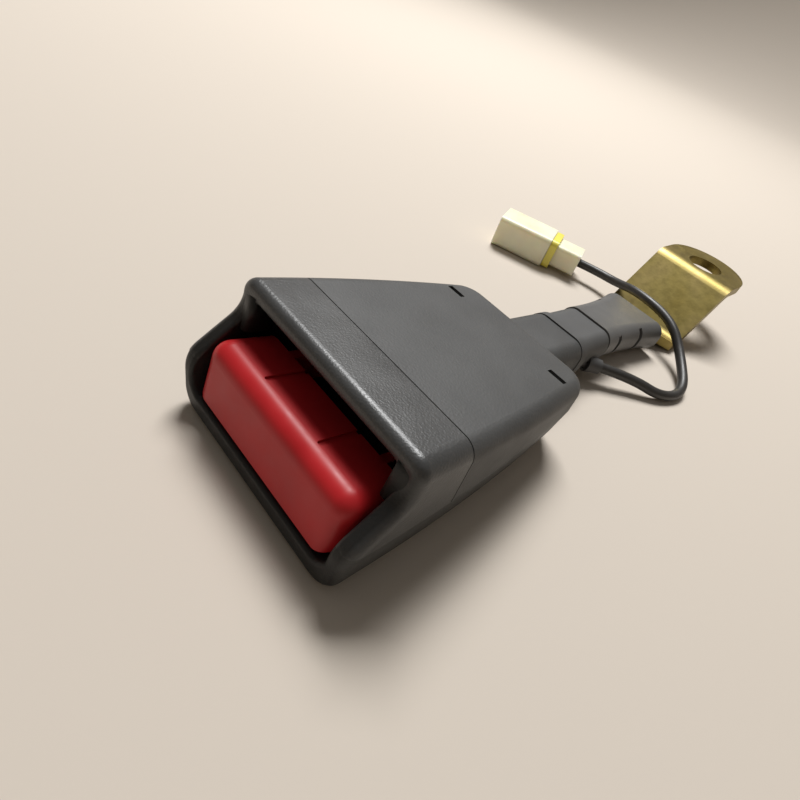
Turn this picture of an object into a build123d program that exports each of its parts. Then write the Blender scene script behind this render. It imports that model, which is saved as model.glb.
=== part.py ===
from build123d import *
from math import cos, radians, sin, tan
import os

# Driving dimensions in millimetres and degrees

# Housing
ROOF_SLOPE = 8.2971
PARTING_HEIGHT = 12.0
UPPER_DRAFT = 1.0
LOWER_DRAFT = 8.0
REAR_CORNER_RADIUS = 7.0
TOP_EDGE_RADIUS = 3.4
BOTTOM_EDGE_RADIUS = 5.5
WALL = 2.0
RIM_WIDTH = 4.0
REAR_SIDE_ROOM = 2.2
REAR_END_ROOM = 11.5

# Mouth
HOOD_SETBACK = 10.6
HOOD_TIP_HEIGHT = 20.6
LIP_HEIGHT = 11.8
LIP_FLOOR = 5.0
LIP_THICKNESS = 3.4
MOUTH_BEND_RADIUS = 6.5
RIM_RADIUS = 2.0
THROAT_RADIUS = 3.6
THROAT_EDGE = 0.8
COLLAR_BACK = 3.4
SEAM_MARGIN = 2.5
SPIGOT_LENGTH = 2.4
SPIGOT_THICKNESS = 0.9
SNAP_MARGIN = 4.0
SNAP_BACK = 9.5
SNAP_WIDTH = 4.6
SNAP_LENGTH = 1.6

# Frame
PLATE = 2.2
ROOF_GAP = 0.9
FRAME_WIDTH = 36.0
FRAME_LEAD = 3.0
CHEEK_DEPTH = 12.7
CHEEK_FRONT_DEPTH = 14.2
CHEEK_FRONT_LENGTH = 9.0
TAIL_WIDTH = 20.0
TAIL_LENGTH = 8.0
TONGUE_GAP = 4.9
SPRING_TAB_WIDTH = 8.0
PIN_LOBE_RADIUS = 3.4
PIVOT_MARGIN = 3.5

# Latch
LATCH_PLATE = 2.5
LATCH_LENGTH = 25.0
LATCH_SIDE_ROOM = 3.9
TOOTH_BACK = 4.0
TOOTH_WIDTH = 10.0
TOOTH_LENGTH = 3.5
TOOTH_ENGAGEMENT = 1.1
PIVOT_DROP = 13.0
PIN_DIAMETER = 3.5
KNUCKLE_DIAMETER = 6.4
EAR_BACK = 9.0
EAR_DIAMETER = 3.0
LATCH_TRAVEL = 11.0

# Release button
BUTTON_SIDE_ROOM = 3.8
BUTTON_FRONT = 4.3
BUTTON_LENGTH = 12.6
BUTTON_WALL = 1.8
BUTTON_TOP_RADIUS = 3.6
BUTTON_CORNER_RADIUS = 3.8
BUTTON_TRAVEL = 6.5
ARM_THICKNESS = 2.0
ARM_TOP = 8.3
ARM_BOTTOM = 17.8
ARM_TAIL = 5.0
GROOVE_OFFSET = 8.2
GROOVE_WIDTH = 1.1
GROOVE_DEPTH = 0.5

# Ejector
EJECTOR_BACK = 5.0
EJECTOR_LENGTH = 16.0
EJECTOR_BRIDGE = 5.0
EJECTOR_SIDE_ROOM = 1.4
EJECTOR_TOOTH_ROOM = 1.2
EJECTOR_THICKNESS = 4.0
EJECTOR_TRAVEL = 8.0
LUG_LENGTH = 3.0
LUG_THICKNESS = 2.0

# Springs
BUTTON_SPRING_DIAMETER = 3.2
BUTTON_SPRING_WIRE = 0.6
BUTTON_SPRING_DROP = 4.6
BUTTON_SPRING_REST = 3.7
BUTTON_SPRING_TURNS = 5
EJECTOR_SPRING_DIAMETER = 3.4
EJECTOR_SPRING_WIRE = 0.6
EJECTOR_SPRING_POCKET = 3.0
EJECTOR_SPRING_TURNS = 6
LATCH_SPRING_DIAMETER = 5.0
LATCH_SPRING_WIRE = 0.7
LATCH_SPRING_LENGTH = 6.2
LATCH_SPRING_BACK = 13.0
LATCH_SPRING_SEAT = 1.31
LATCH_SPRING_TURNS = 4

# Belt switch
SWITCH_MARGIN = 3.0
SWITCH_WIDTH = 2.7
SWITCH_HEIGHT = 6.4
SWITCH_POCKET = 1.9
SWITCH_CONTACT = 0.4
CONTACT_WIDTH = 0.8
CONTACT_PITCH = 1.4
BRIDGE_LENGTH = 2.4
WIRE_DIAMETER = 1.3
WIRE_PITCH = 1.45
WIRE_LEAD = 4.55

# Anchor strap
STRAP_WIDTH = 14.0
STRAP_THICKNESS = 2.8
STALK_GAP = 1.0
STALK_REACH = 66.0
STALK_SLOPE = 5.6
DROP_SLOPE = 19.0
RISE_SLOPE = 45.0
TAB_HEIGHT = 19.0
TAB_WIDTH = 28.0
TAB_LENGTH = 22.415
STRAP_BEND_RADIUS = 5.0
ANCHOR_HOLE_DIAMETER = 12.2
RIVET_DIAMETER = 6.0
RIVET_HEAD_DIAMETER = 8.2
RIVET_HEAD_HEIGHT = 1.3
RIVET_FLAT_HEIGHT = 0.6

# Neck, boot and sleeve
NECK_WIDTH = 18.6
NECK_HEIGHT = 11.0
NECK_LENGTH = 17.0
NECK_WALL = 1.6
NECK_RADIUS = 4.0
NECK_BORE_RADIUS = 1.0
BOOT_WIDTH = 17.6
BOOT_HEIGHT = 10.4
BOOT_LENGTH = 17.0
BOOT_RING = 0.7
SPIGOT_DEPTH = 3.0
SLEEVE_WIDTH = 17.4
SLEEVE_WAIST_WIDTH = 18.4
SLEEVE_HEIGHT = 9.4
SLEEVE_END_WIDTH = 23.0
SLIT_WIDTH = 1.8
SLIT_DEPTH = 1.0
SLIT_BACK = 6.0
SLIT_PITCH = 13.0
CABLE_SHIFT = 1.6

# Cable and connector
CABLE_DIAMETER = 3.0
CABLE_TAIL = 12.0
GROMMET_DIAMETER = 5.2
GROMMET_TIP_DIAMETER = 4.2
GROMMET_LENGTH = 4.4
CONNECTOR_LENGTH = 20.0
CONNECTOR_WIDTH = 14.0
CONNECTOR_HEIGHT = 11.0
CONNECTOR_EDGE = 1.8
CONNECTOR_NECK_LENGTH = 12.0
CONNECTOR_NECK_WIDTH = 10.0
CONNECTOR_NECK_HEIGHT = 8.0
CONNECTOR_NECK_EDGE = 1.3
CONNECTOR_CAVITY = 3.4
CONNECTOR_CAVITY_DEPTH = 14.0
CONNECTOR_CAVITY_PITCH = 5.8
CONNECTOR_LOCK_LENGTH = 2.6
CONNECTOR_LOCK_WALL = 1.2
TERMINAL_LENGTH = 12.0
TERMINAL_BORE = 1.7

# Clearances
RUNNING = 0.4
SEATED = 0.15
SEAM_GAP = 0.25
PIN_FIT = 0.05
THROAT_GAP = 0.6
STOP_GAP = 0.6

# Widths, built out from the frame
HALF_FRAME = FRAME_WIDTH / 2
CHEEK_INSIDE = HALF_FRAME - PLATE
ARM_OUTSIDE = CHEEK_INSIDE - RUNNING
ARM_INSIDE = ARM_OUTSIDE - ARM_THICKNESS
LATCH_WIDTH = 2 * (ARM_INSIDE - LATCH_SIDE_ROOM)
EJECTOR_WIDTH = 2 * (ARM_INSIDE - EJECTOR_SIDE_ROOM)
EJECTOR_ARM = (EJECTOR_WIDTH - TOOTH_WIDTH) / 2 - EJECTOR_TOOTH_ROOM
SPRING_OFFSET = CHEEK_INSIDE + BUTTON_SPRING_DIAMETER / 2 + SEATED
SWITCH_INSIDE = HALF_FRAME + SEATED
BUTTON_WIDTH = FRAME_WIDTH + 2 * BUTTON_SIDE_ROOM
HOUSING_FRONT_WIDTH = BUTTON_WIDTH + 2 * THROAT_GAP + 2 * RIM_WIDTH
HOUSING_REAR_WIDTH = FRAME_WIDTH + 2 * REAR_SIDE_ROOM

# Distances along the roof, built back from the button
BUTTON_REAR = BUTTON_FRONT + BUTTON_LENGTH
CHEEK_FRONT = BUTTON_REAR + BUTTON_TRAVEL + STOP_GAP
FRAME_FRONT = CHEEK_FRONT - FRAME_LEAD
EJECTOR_FRONT = CHEEK_FRONT + EJECTOR_BACK
EJECTOR_REAR = EJECTOR_FRONT + EJECTOR_LENGTH
LATCH_FRONT = EJECTOR_FRONT + TOOTH_BACK
EAR_SETBACK = LATCH_FRONT + EAR_BACK
PIVOT_SETBACK = LATCH_FRONT + LATCH_LENGTH
FRAME_REAR = PIVOT_SETBACK + PIVOT_MARGIN
LUG_START = EJECTOR_REAR - EJECTOR_BRIDGE
LUG_PATH = LUG_LENGTH + EJECTOR_TRAVEL
SWITCH_FRONT = LUG_START - SWITCH_MARGIN
SWITCH_LENGTH = LUG_PATH + 2 * SWITCH_MARGIN
RIVET_SETBACK = FRAME_REAR + RIVET_HEAD_DIAMETER / 2 + RUNNING
HOUSING_LENGTH = FRAME_REAR + REAR_END_ROOM
STALK_START = HOUSING_LENGTH + STALK_GAP
STALK_END = STALK_START + STALK_REACH

SEAM_SETBACK = FRAME_FRONT + SEAM_MARGIN
COLLAR_DEPTH = HOOD_SETBACK + COLLAR_BACK

# Slopes
SLOPE = radians(ROOF_SLOPE)
RUN = Vector(0, cos(SLOPE), -sin(SLOPE))
RISE = Vector(0, sin(SLOPE), cos(SLOPE))
STALK_RUN = Vector(0, cos(radians(STALK_SLOPE)), -sin(radians(STALK_SLOPE)))
STALK_RISE = Vector(0, sin(radians(STALK_SLOPE)), cos(radians(STALK_SLOPE)))
STALK_LENGTH = STALK_REACH / cos(radians(STALK_SLOPE))
CAM_DROP = (PIVOT_SETBACK - EAR_SETBACK) * sin(radians(LATCH_TRAVEL))

# Levels below the roof
PLATE_TOP = -WALL - ROOF_GAP
PLATE_BOTTOM = PLATE_TOP - PLATE
GAP_BOTTOM = PLATE_BOTTOM - TONGUE_GAP
CHEEK_BOTTOM = PLATE_TOP - CHEEK_DEPTH
LATCH_TOP = GAP_BOTTOM - 1.5 * RUNNING
LATCH_MIDDLE = LATCH_TOP - LATCH_PLATE / 2
LATCH_SPRING_TOP = LATCH_TOP - LATCH_PLATE
LATCH_SPRING_BOTTOM = LATCH_SPRING_TOP - LATCH_SPRING_LENGTH
LATCH_SPRING_SETBACK = LATCH_FRONT + LATCH_SPRING_BACK
EJECTOR_TOP = PLATE_BOTTOM - RUNNING
EJECTOR_BOTTOM = EJECTOR_TOP - EJECTOR_THICKNESS
EJECTOR_SPRING_LEVEL = EJECTOR_BOTTOM + EJECTOR_THICKNESS / 2
LUG_MIDDLE = EJECTOR_TOP - RUNNING - LUG_THICKNESS / 2
STRAP_LEVEL = PLATE_BOTTOM - STRAP_THICKNESS / 2
WIRE_LEVEL = LUG_MIDDLE - SWITCH_HEIGHT / 2
BUTTON_TOP = GAP_BOTTOM - RUNNING
BUTTON_SPRING_LEVEL = BUTTON_TOP - BUTTON_SPRING_DROP
ROOF_DROP = LATCH_SPRING_SETBACK * sin(SLOPE) - LATCH_SPRING_BOTTOM * cos(SLOPE)
ROOF_Z = WALL + LATCH_SPRING_SEAT + ROOF_DROP
HOUSING_REAR_HEIGHT = ROOF_Z - HOUSING_LENGTH * tan(SLOPE)
THROAT_BOTTOM = (LIP_FLOOR - ROOF_Z) * cos(SLOPE)
BUTTON_DEPTH = BUTTON_TOP - THROAT_GAP - THROAT_BOTTOM

# Course of the strap, from the frame down to the floor and up to the tab
STALK_HEAD_Z = ROOF_Z + STRAP_LEVEL / cos(SLOPE) - STALK_START * tan(SLOPE)
STALK_TIP_Z = STALK_HEAD_Z - STALK_REACH * tan(radians(STALK_SLOPE))
LOW_LIFT = cos(radians(RISE_SLOPE - DROP_SLOPE) / 2) / cos(radians(RISE_SLOPE + DROP_SLOPE) / 2) - 1
LOW_Z = STRAP_THICKNESS / 2 - STRAP_BEND_RADIUS * LOW_LIFT
LOW_SETBACK = STALK_END + (STALK_TIP_Z - LOW_Z) / tan(radians(DROP_SLOPE))
TAB_SETBACK = LOW_SETBACK + (TAB_HEIGHT - LOW_Z) / tan(radians(RISE_SLOPE))
OVERALL_LENGTH = TAB_SETBACK + TAB_LENGTH
FRONT_Y = -OVERALL_LENGTH / 2
REAR_Y = OVERALL_LENGTH / 2
ANCHOR_Y = REAR_Y - TAB_WIDTH / 2
STALK_ORIGIN = Vector(0, FRONT_Y + STALK_START, STALK_HEAD_Z)
STALK_TIP = STALK_ORIGIN + STALK_RUN * STALK_LENGTH
SLEEVE_START = NECK_LENGTH + BOOT_LENGTH

# Cable route, from the grommet over the strap to the connector
BOOT_Y = FRONT_Y + STALK_START + NECK_LENGTH
CABLE_EXIT = Vector(10.8, BOOT_Y + 12.6, 5.2)
CABLE_POINTS = (
    CABLE_EXIT,
    Vector(18.0, BOOT_Y + 21.0, 4.2),
    Vector(27.0, BOOT_Y + 28.0, 1.6),
    Vector(29.0, BOOT_Y + 39.0, 1.6),
    Vector(20.0, BOOT_Y + 50.0, 5.0),
    Vector(10.0, BOOT_Y + 56.0, 10.3),
    Vector(-6.0, BOOT_Y + 60.0, 10.3),
    Vector(-16.0, BOOT_Y + 65.0, 6.5),
    Vector(-24.5, BOOT_Y + 65.6, CONNECTOR_HEIGHT / 2),
    Vector(-31.5, BOOT_Y + 62.4, CONNECTOR_HEIGHT / 2),
)
EXIT_HEADING = (CABLE_POINTS[1] - CABLE_POINTS[0]).normalized()
CONNECTOR_HEADING = (CABLE_POINTS[-1] - CABLE_POINTS[-2]).normalized()
CABLE_TURN = CABLE_EXIT - EXIT_HEADING * CABLE_TAIL
CABLE_HEAD = CABLE_TURN - STALK_RUN * ((CABLE_TURN.Y - FRONT_Y - HOUSING_LENGTH + 2 * WALL) / STALK_RUN.Y)
INNER_POINTS = (CABLE_HEAD, CABLE_TURN, CABLE_EXIT)
GROMMET_BASE = CABLE_EXIT - EXIT_HEADING * GROMMET_LENGTH


def spot(x, u, w):
    """Point of the inclined mechanism: across, along the roof, and away from it."""
    return Vector(x, FRONT_Y, ROOF_Z) + RUN * u + RISE * w


def plan(w):
    """Plane parallel to the roof at the height w."""
    return Plane(origin=spot(0, 0, w), x_dir=(1, 0, 0), z_dir=RISE)


def flank(x):
    """Upright plane along the roof at the distance x from the middle."""
    return Plane(origin=spot(x, 0, 0), x_dir=RUN, z_dir=(1, 0, 0))


def across(u):
    """Plane square to the roof at the distance u from the front."""
    return Plane(origin=spot(0, u, 0), x_dir=(1, 0, 0), z_dir=-RUN)


def corner_radii(points):
    """Largest tangent radii that the runs of a route leave at its corners."""
    route = [Vector(*point) for point in points]
    radii = []
    for before, here, after in zip(route, route[1:], route[2:]):
        shorter = min((here - before).length, (after - here).length)
        turn = (here - before).get_angle(after - here)
        radii.append(0.45 * shorter / tan(radians(turn / 2)))
    return radii


def housing_form(inset, reach):
    """Wedge with drafted sides and rounded edges, drawn in by an inset and reaching past the front."""
    half_front = HOUSING_FRONT_WIDTH / 2 - inset
    half_rear = HOUSING_REAR_WIDTH / 2 - inset
    rear = FRONT_Y + HOUSING_LENGTH - inset
    drop = inset / cos(SLOPE)
    with BuildPart() as form:
        with BuildSketch(Plane.XY.offset(PARTING_HEIGHT)) as outline:
            with BuildLine():
                flank_line = TangentArc((half_front, FRONT_Y), (half_rear, rear), tangent=(0, 1))
                Line(flank_line @ 1, (0, rear))
                Line(flank_line @ 0, (half_front, FRONT_Y - reach))
                Line((half_front, FRONT_Y - reach), (0, FRONT_Y - reach))
                mirror(about=Plane.YZ)
            make_face()
            fillet(outline.vertices().group_by(Axis.Y)[-1], REAR_CORNER_RADIUS - inset)
        extrude(amount=ROOF_Z + reach - PARTING_HEIGHT, taper=UPPER_DRAFT)
        extrude(outline.sketch, amount=-(PARTING_HEIGHT - inset), taper=LOWER_DRAFT)
        with BuildSketch(Plane.YZ):
            with BuildLine():
                Polyline(
                    (FRONT_Y - reach, inset),
                    (rear, inset),
                    (rear, HOUSING_REAR_HEIGHT - drop + inset * tan(SLOPE)),
                    (FRONT_Y - reach, ROOF_Z - drop + reach * tan(SLOPE)),
                    close=True,
                )
            make_face()
        extrude(amount=HOUSING_FRONT_WIDTH, both=True, mode=Mode.INTERSECT)
        roof = form.faces().sort_by(Axis.Z)[-1]
        floor = form.faces().sort_by(Axis.Z)[0]
        fillet(roof.edges().sort_by(Axis.Y)[1:], TOP_EDGE_RADIUS - inset)
        fillet(floor.edges().sort_by(Axis.Y)[1:], BOTTOM_EDGE_RADIUS - inset)
    return form.part


def button_form(inset, reach):
    """Rounded cap of the button, drawn in by an inset and reaching past its rear."""
    with BuildPart() as form:
        with BuildSketch(across(BUTTON_REAR + reach)):
            with Locations((0, BUTTON_TOP - BUTTON_DEPTH / 2)):
                Rectangle(BUTTON_WIDTH - 2 * inset, BUTTON_DEPTH - 2 * inset)
        extrude(amount=BUTTON_LENGTH + reach - inset)
        upright = form.edges().filter_by(Axis(spot(0, 0, 0), RISE)).group_by(Axis.Y)[0]
        lengthwise = form.edges().filter_by(Axis(spot(0, 0, 0), RUN)).group_by(Axis.Z)[0]
        fillet(upright + lengthwise, BUTTON_CORNER_RADIUS - inset)
        cap = form.faces().sort_by(Axis.Z)[-1]
        fillet(cap.edges().sort_by(Axis.Y)[:-1], BUTTON_TOP_RADIUS - inset)
    return form.part


def rim_edges(piece, at_throat):
    """Edges of the mouth's rim, those at the throat or the outer ones."""
    rim = [
        face
        for face in piece.faces()
        if abs(face.normal_at().X) < 0.01
        and face.normal_at().Y < -0.2
        and face.bounding_box().max.Y < FRONT_Y + HOOD_SETBACK + SEATED
    ]
    edges = [edge for face in rim for edge in face.edges()]
    found = ShapeList()
    for edge in edges:
        middle = edge.center()
        lift = (middle - spot(0, 0, 0)).dot(RISE)
        narrow = abs(middle.X) < BUTTON_WIDTH / 2 + THROAT_GAP + SEATED
        level = THROAT_BOTTOM - SEATED < lift < SEATED - LIP_THICKNESS
        alone = sum(edge.is_same(other) for other in edges) == 1
        if alone and abs(middle.Z - PARTING_HEIGHT) > SEATED and (narrow and level) == at_throat:
            found.append(edge)
    return found


def stalk(s, lift):
    """Plane square to the stalk at the distance s behind the housing."""
    origin = STALK_ORIGIN + STALK_RUN * s + STALK_RISE * lift
    return Plane(origin=origin, x_dir=(1, 0, 0), z_dir=-STALK_RUN)


def tube(points, diameter):
    """Round tube along straight runs joined by the largest tangent arcs."""
    with BuildPart() as pipe:
        with BuildLine() as route:
            FilletPolyline(*points, radius=corner_radii(points))
        with BuildSketch(Plane(origin=route.line @ 0, z_dir=route.line % 0)):
            Circle(diameter / 2)
        sweep()
    return pipe.part


def coil(start, direction, length, diameter, wire, turns):
    """Open compression spring between two seats."""
    with BuildPart() as spring:
        with BuildLine() as route:
            Helix(
                pitch=(length - wire) / turns,
                height=length - wire,
                radius=(diameter - wire) / 2,
                center=start + direction * (wire / 2),
                direction=direction,
            )
        with BuildSketch(Plane(origin=route.line @ 0, z_dir=route.line % 0)):
            Circle(wire / 2)
        sweep(is_frenet=True)
    return spring.part


def connector_section(t):
    """Plane square to the connector at the distance t from its cable end."""
    side = Vector(0, 0, 1).cross(CONNECTOR_HEADING)
    return Plane(origin=CABLE_POINTS[-1] + CONNECTOR_HEADING * t, x_dir=side, z_dir=CONNECTOR_HEADING)


outer = housing_form(0, 6)
inner = housing_form(WALL, 6)
liner = housing_form(WALL + SPIGOT_THICKNESS, 6)

# Hollow of the housing, narrowed in front to the throat in which the button slides
with BuildPart() as hollow:
    add(inner)
    split(bisect_by=across(COLLAR_DEPTH), keep=Keep.BOTTOM)
    with BuildSketch(across(COLLAR_DEPTH + WALL)):
        with Locations((0, (THROAT_BOTTOM - LIP_THICKNESS) / 2)):
            RectangleRounded(BUTTON_WIDTH + 2 * THROAT_GAP, -THROAT_BOTTOM - LIP_THICKNESS, THROAT_RADIUS)
    extrude(amount=COLLAR_DEPTH + 2 * HOOD_SETBACK)

# Housing with its neck and mouth, before it is parted
with BuildPart() as shell:
    add(outer)
    with BuildSketch(stalk(-NECK_LENGTH / 3, -CABLE_SHIFT)):
        RectangleRounded(NECK_WIDTH, NECK_HEIGHT, NECK_RADIUS)
    extrude(amount=-NECK_LENGTH * 4 / 3)
    add(hollow.part, mode=Mode.SUBTRACT)
    with BuildSketch(stalk(-NECK_LENGTH / 2, -CABLE_SHIFT)):
        RectangleRounded(NECK_WIDTH - 2 * NECK_WALL, NECK_HEIGHT - 2 * NECK_WALL, NECK_BORE_RADIUS)
    extrude(amount=-NECK_LENGTH * 2, mode=Mode.SUBTRACT)
    with BuildSketch(Plane.YZ):
        with BuildLine():
            swoop = FilletPolyline(
                (FRONT_Y, -WALL),
                (FRONT_Y, LIP_HEIGHT),
                (FRONT_Y + HOOD_SETBACK, HOOD_TIP_HEIGHT),
                (FRONT_Y + HOOD_SETBACK, ROOF_Z + WALL),
                radius=MOUTH_BEND_RADIUS,
            )
            Polyline(
                swoop @ 1,
                (FRONT_Y - HOOD_SETBACK, ROOF_Z + WALL),
                (FRONT_Y - HOOD_SETBACK, -WALL),
                swoop @ 0,
            )
        make_face()
    extrude(amount=HOUSING_FRONT_WIDTH, both=True, mode=Mode.SUBTRACT)

# Partition behind the mouth, with the tongue slot and its lead-in
with BuildPart() as partition:
    with BuildSketch(across(FRAME_FRONT - SEATED)):
        with Locations((0, (GAP_BOTTOM + SEATED) / 2)):
            Rectangle(HOUSING_FRONT_WIDTH, -GAP_BOTTOM - SEATED)
        with Locations((0, (GAP_BOTTOM + PLATE_BOTTOM) / 2)):
            Rectangle(2 * ARM_OUTSIDE, TONGUE_GAP, mode=Mode.SUBTRACT)
    extrude(amount=WALL)
    with BuildSketch(flank(0)):
        with BuildLine():
            Polyline(
                (FRAME_FRONT - SEATED, -WALL / 2),
                (FRAME_FRONT - SEATED, PLATE_BOTTOM),
                (FRAME_FRONT - 2 * WALL, PLATE_BOTTOM),
                (HOOD_SETBACK + WALL, -WALL / 2),
                close=True,
            )
        make_face()
    extrude(amount=HALF_FRAME, both=True)
    add(inner, mode=Mode.INTERSECT)

with BuildPart() as front_hood:
    add(shell.part)
    split(bisect_by=Plane.XY.offset(PARTING_HEIGHT), keep=Keep.TOP)
    split(bisect_by=Plane.XZ.offset(-(FRONT_Y + SEAM_SETBACK)), keep=Keep.TOP)
    fillet(rim_edges(front_hood, False), RIM_RADIUS)
    fillet(rim_edges(front_hood, True), THROAT_EDGE)
    add(partition.part)

# Spigot on which the hood sits
with BuildPart() as spigot:
    add(inner)
    add(liner, mode=Mode.SUBTRACT)
    split(bisect_by=Plane.XY.offset(PARTING_HEIGHT), keep=Keep.TOP)
    split(bisect_by=Plane.XZ.offset(-(FRONT_Y + SEAM_SETBACK - SPIGOT_LENGTH)), keep=Keep.BOTTOM)
    split(bisect_by=Plane.XZ.offset(-(FRONT_Y + SEAM_SETBACK + SPIGOT_LENGTH)), keep=Keep.TOP)

with BuildPart() as upper_cover:
    add(shell.part)
    split(bisect_by=Plane.XY.offset(PARTING_HEIGHT), keep=Keep.TOP)
    split(bisect_by=Plane.XZ.offset(-(FRONT_Y + SEAM_SETBACK + SEAM_GAP)), keep=Keep.BOTTOM)
    add(spigot.part)
    with BuildSketch(Plane(origin=spot(0, HOUSING_LENGTH - SNAP_BACK, 0), x_dir=(1, 0, 0), z_dir=RISE)):
        with GridLocations(HOUSING_REAR_WIDTH - 2 * SNAP_MARGIN, 0, 2, 1):
            Rectangle(SNAP_WIDTH, SNAP_LENGTH)
    extrude(amount=-WALL / 2, mode=Mode.SUBTRACT)

# Release button, a hollow cap with two cam arms
with BuildPart() as release_button:
    add(button_form(0, 0))
    add(button_form(BUTTON_WALL, BUTTON_WALL), mode=Mode.SUBTRACT)
    with BuildSketch(plan(BUTTON_TOP)):
        with Locations((-GROOVE_OFFSET, BUTTON_REAR), (GROOVE_OFFSET, BUTTON_REAR)):
            SlotOverall(2 * (BUTTON_LENGTH - BUTTON_TOP_RADIUS), GROOVE_WIDTH, rotation=90)
    extrude(amount=-GROOVE_DEPTH, mode=Mode.SUBTRACT)
    with BuildSketch(flank(ARM_INSIDE)):
        with BuildLine():
            Polyline(
                (BUTTON_FRONT + BUTTON_LENGTH / 2, BUTTON_TOP - BUTTON_WALL / 2),
                (CHEEK_FRONT - RUNNING, BUTTON_TOP - BUTTON_WALL / 2),
                (CHEEK_FRONT + ARM_THICKNESS, -ARM_TOP),
                (EAR_SETBACK + ARM_TAIL, -ARM_TOP),
                (EAR_SETBACK + ARM_TAIL, -ARM_BOTTOM),
                (BUTTON_FRONT + BUTTON_LENGTH / 2, -ARM_BOTTOM),
                close=True,
            )
        make_face()
        SlotCenterPoint(
            (EAR_SETBACK - BUTTON_TRAVEL / 2, LATCH_MIDDLE - CAM_DROP / 2),
            (EAR_SETBACK, LATCH_MIDDLE),
            EAR_DIAMETER + 2 * RUNNING,
            mode=Mode.SUBTRACT,
        )
    arm = extrude(amount=ARM_THICKNESS)
    mirror(arm, about=Plane.YZ)
    with BuildSketch(across(BUTTON_FRONT + BUTTON_SPRING_REST)):
        with Locations((SPRING_OFFSET, BUTTON_SPRING_LEVEL), (-SPRING_OFFSET, BUTTON_SPRING_LEVEL)):
            Rectangle(BUTTON_SPRING_DIAMETER, BUTTON_SPRING_DIAMETER)
    extrude(amount=BUTTON_SPRING_REST - BUTTON_WALL / 2)

# Frame, an inverted steel channel
with BuildPart() as frame:
    with BuildSketch(plan(PLATE_BOTTOM)):
        with Locations((0, (FRAME_FRONT + FRAME_REAR) / 2)):
            Rectangle(FRAME_WIDTH, FRAME_REAR - FRAME_FRONT)
        with Locations((0, FRAME_REAR)):
            Rectangle(TAIL_WIDTH, 2 * TAIL_LENGTH)
        with Locations((0, LATCH_FRONT + TOOTH_LENGTH / 2)):
            Rectangle(TOOTH_WIDTH + 3 * RUNNING, 2 * TOOTH_LENGTH, mode=Mode.SUBTRACT)
        with Locations((0, RIVET_SETBACK)):
            Circle(RIVET_DIAMETER / 2, mode=Mode.SUBTRACT)
    extrude(amount=PLATE)
    with BuildSketch(flank(HALF_FRAME)):
        with BuildLine():
            Polyline(
                (CHEEK_FRONT, PLATE_TOP),
                (FRAME_REAR, PLATE_TOP),
                (FRAME_REAR, CHEEK_BOTTOM),
                (CHEEK_FRONT + CHEEK_FRONT_LENGTH + CHEEK_FRONT_DEPTH - CHEEK_DEPTH, CHEEK_BOTTOM),
                (CHEEK_FRONT + CHEEK_FRONT_LENGTH, PLATE_TOP - CHEEK_FRONT_DEPTH),
                (CHEEK_FRONT, PLATE_TOP - CHEEK_FRONT_DEPTH),
                close=True,
            )
        make_face()
        with Locations((PIVOT_SETBACK, -PIVOT_DROP)):
            Circle(PIN_LOBE_RADIUS)
            Circle(PIN_DIAMETER / 2, mode=Mode.SUBTRACT)
        with Locations((LUG_START + LUG_PATH / 2, LUG_MIDDLE)):
            SlotOverall(
                LUG_PATH + LUG_THICKNESS + 2 * RUNNING,
                LUG_THICKNESS + 2 * RUNNING,
                mode=Mode.SUBTRACT,
            )
    cheek = extrude(amount=-PLATE)
    mirror(cheek, about=Plane.YZ)
    with BuildSketch(across(FRAME_REAR)):
        with Locations((0, (PLATE_TOP + EJECTOR_BOTTOM) / 2)):
            Rectangle(SPRING_TAB_WIDTH, PLATE_TOP - EJECTOR_BOTTOM)
    extrude(amount=PLATE)
    folds = frame.faces().filter_by(Plane(origin=(0, 0, 0), z_dir=RISE)).sort_by(Axis.Z)[-1]
    fillet(folds.edges().filter_by(lambda edge: abs(abs(edge.center().X) - HALF_FRAME) < SEATED), PLATE / 2)

with BuildPart() as latch_pivot_pin:
    with BuildSketch(flank(0)):
        with Locations((PIVOT_SETBACK, -PIVOT_DROP)):
            Circle(PIN_DIAMETER / 2)
    extrude(amount=HALF_FRAME + RUNNING, both=True)
    chamfer(latch_pivot_pin.edges().filter_by(GeomType.CIRCLE), PIN_DIAMETER / 10)

# Latch, a plate with a tooth that drops out of the tongue when its ears follow the cam slots
with BuildPart() as latch:
    with BuildSketch(plan(LATCH_TOP)):
        with Locations((0, (LATCH_FRONT + PIVOT_SETBACK) / 2)):
            Rectangle(LATCH_WIDTH, PIVOT_SETBACK - LATCH_FRONT)
    extrude(amount=-LATCH_PLATE)
    with BuildSketch(flank(0)):
        with BuildLine():
            Polyline(
                (LATCH_FRONT, LATCH_TOP - LATCH_PLATE / 2),
                (LATCH_FRONT, LATCH_TOP),
                (LATCH_FRONT + TOOTH_LENGTH / 2, PLATE_BOTTOM + TOOTH_ENGAGEMENT),
                (LATCH_FRONT + TOOTH_LENGTH, PLATE_BOTTOM + TOOTH_ENGAGEMENT),
                (LATCH_FRONT + TOOTH_LENGTH, LATCH_TOP - LATCH_PLATE / 2),
                close=True,
            )
        make_face()
    extrude(amount=TOOTH_WIDTH / 2, both=True)
    with BuildSketch(flank(0)):
        with Locations((PIVOT_SETBACK, -PIVOT_DROP)):
            Circle(KNUCKLE_DIAMETER / 2)
    extrude(amount=CHEEK_INSIDE - RUNNING, both=True)
    with BuildSketch(flank(0)):
        with Locations((EAR_SETBACK, LATCH_MIDDLE)):
            Circle(EAR_DIAMETER / 2)
    extrude(amount=ARM_OUTSIDE - RUNNING, both=True)
    with BuildSketch(flank(0)):
        with Locations((PIVOT_SETBACK, -PIVOT_DROP)):
            Circle(PIN_DIAMETER / 2 + PIN_FIT)
    extrude(amount=HALF_FRAME, both=True, mode=Mode.SUBTRACT)

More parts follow.
